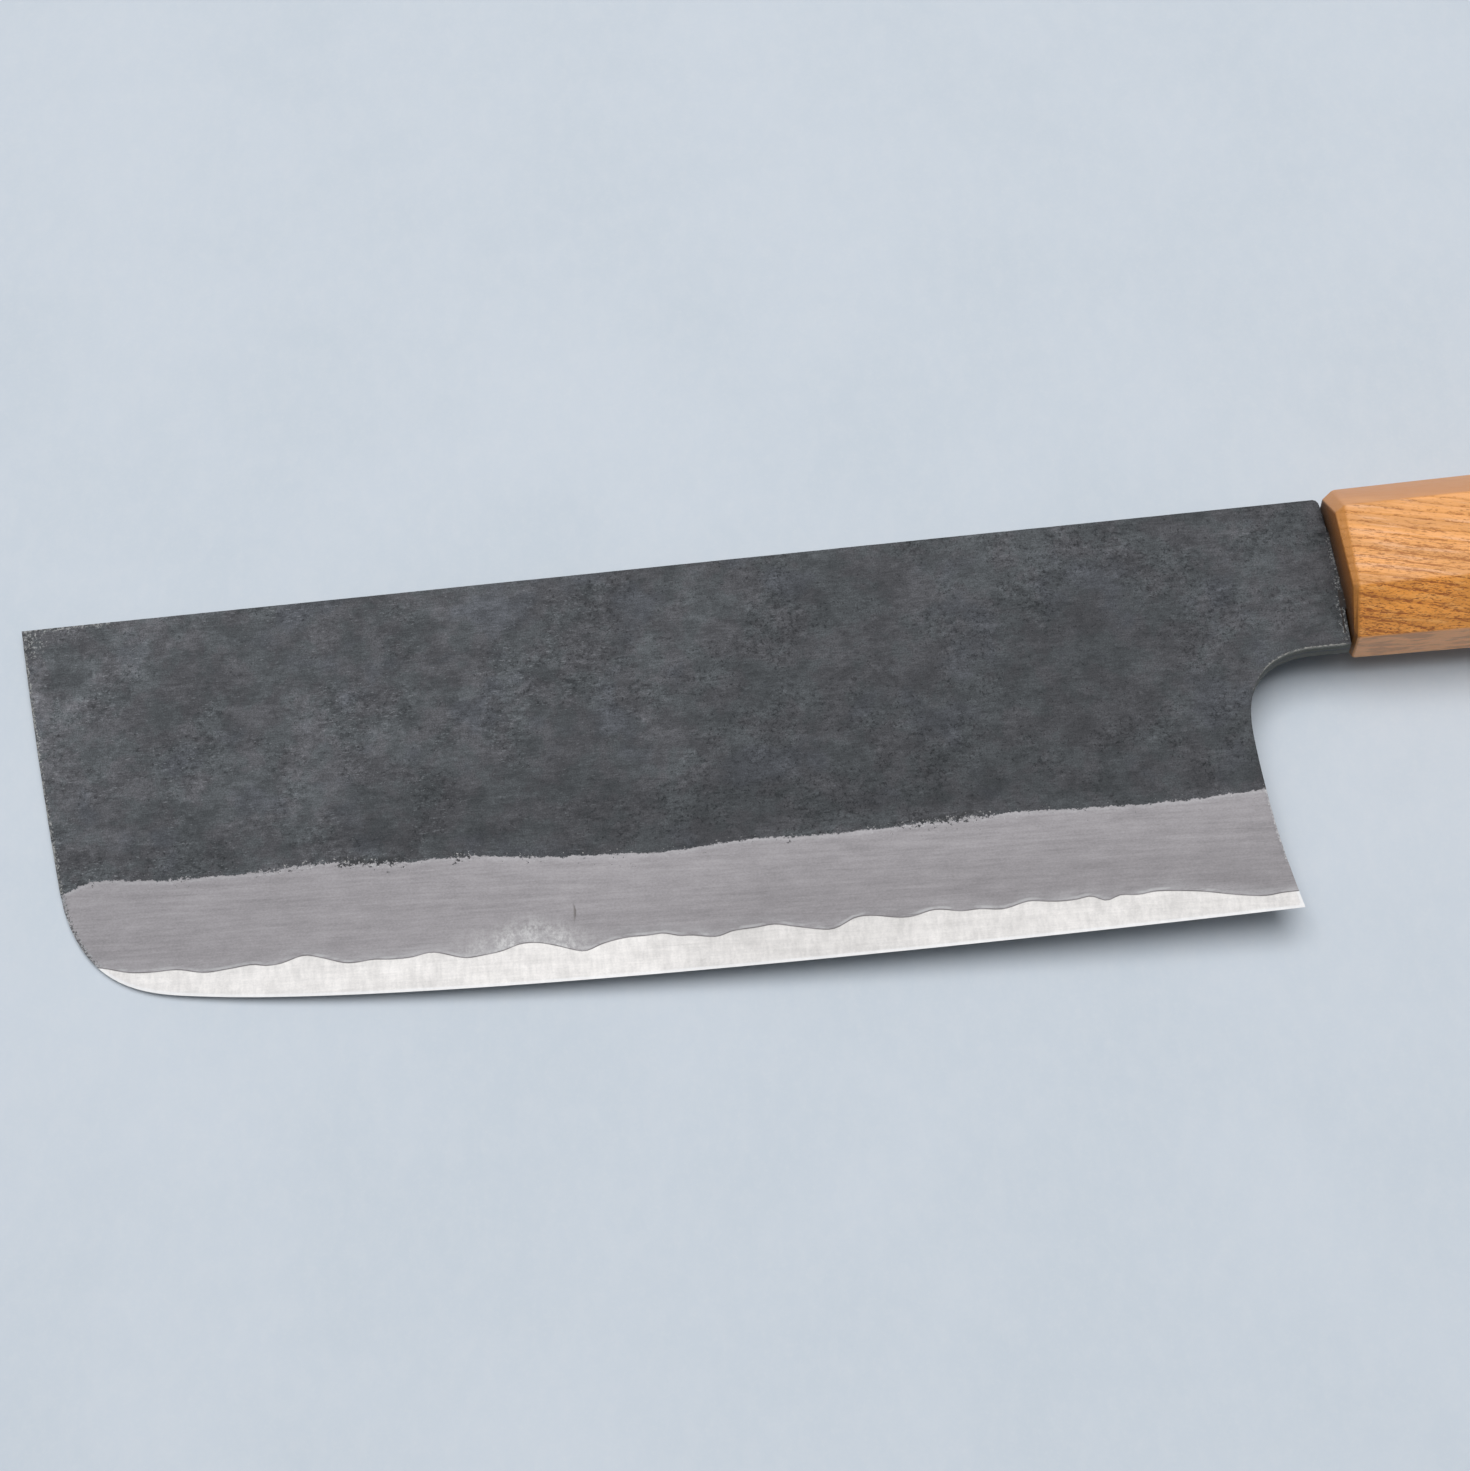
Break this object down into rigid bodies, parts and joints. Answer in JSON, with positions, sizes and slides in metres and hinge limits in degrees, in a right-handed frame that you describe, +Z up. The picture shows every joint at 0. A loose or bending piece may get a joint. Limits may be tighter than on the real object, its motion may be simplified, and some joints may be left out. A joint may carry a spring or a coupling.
{
  "type": "nakiri knife",
  "caption": "Square-fronted vegetable knife: laminated blade with black forge scale above a ground bevel, hidden tang in an eight-sided wooden handle.",
  "frame": {"origin": "under the middle of the knife's box, level with the lowest line of the handle, as the knife lies on its right side", "axes": "+X along the knife to the butt of the handle, +Y to the spine, +Z up, square to the blade's mid plane, out of its left side"},
  "size_m": [0.3114, 0.0586, 0.0208],
  "materials": {
    "core_steel": "bright hard steel, finely ground along the edge",
    "cladding_iron": "soft iron, black forge scale above a grey ground bevel",
    "handle_wood": "open-pored hardwood, oiled, warm orange brown",
    "resin": "dark cast resin"
  },
  "bodies": {
    "root": {"core_steel": "core_steel", "left_cladding": "cladding_iron", "right_cladding": "cladding_iron", "handle": "handle_wood", "tang_resin": "resin"}
  },
  "joints": []
}
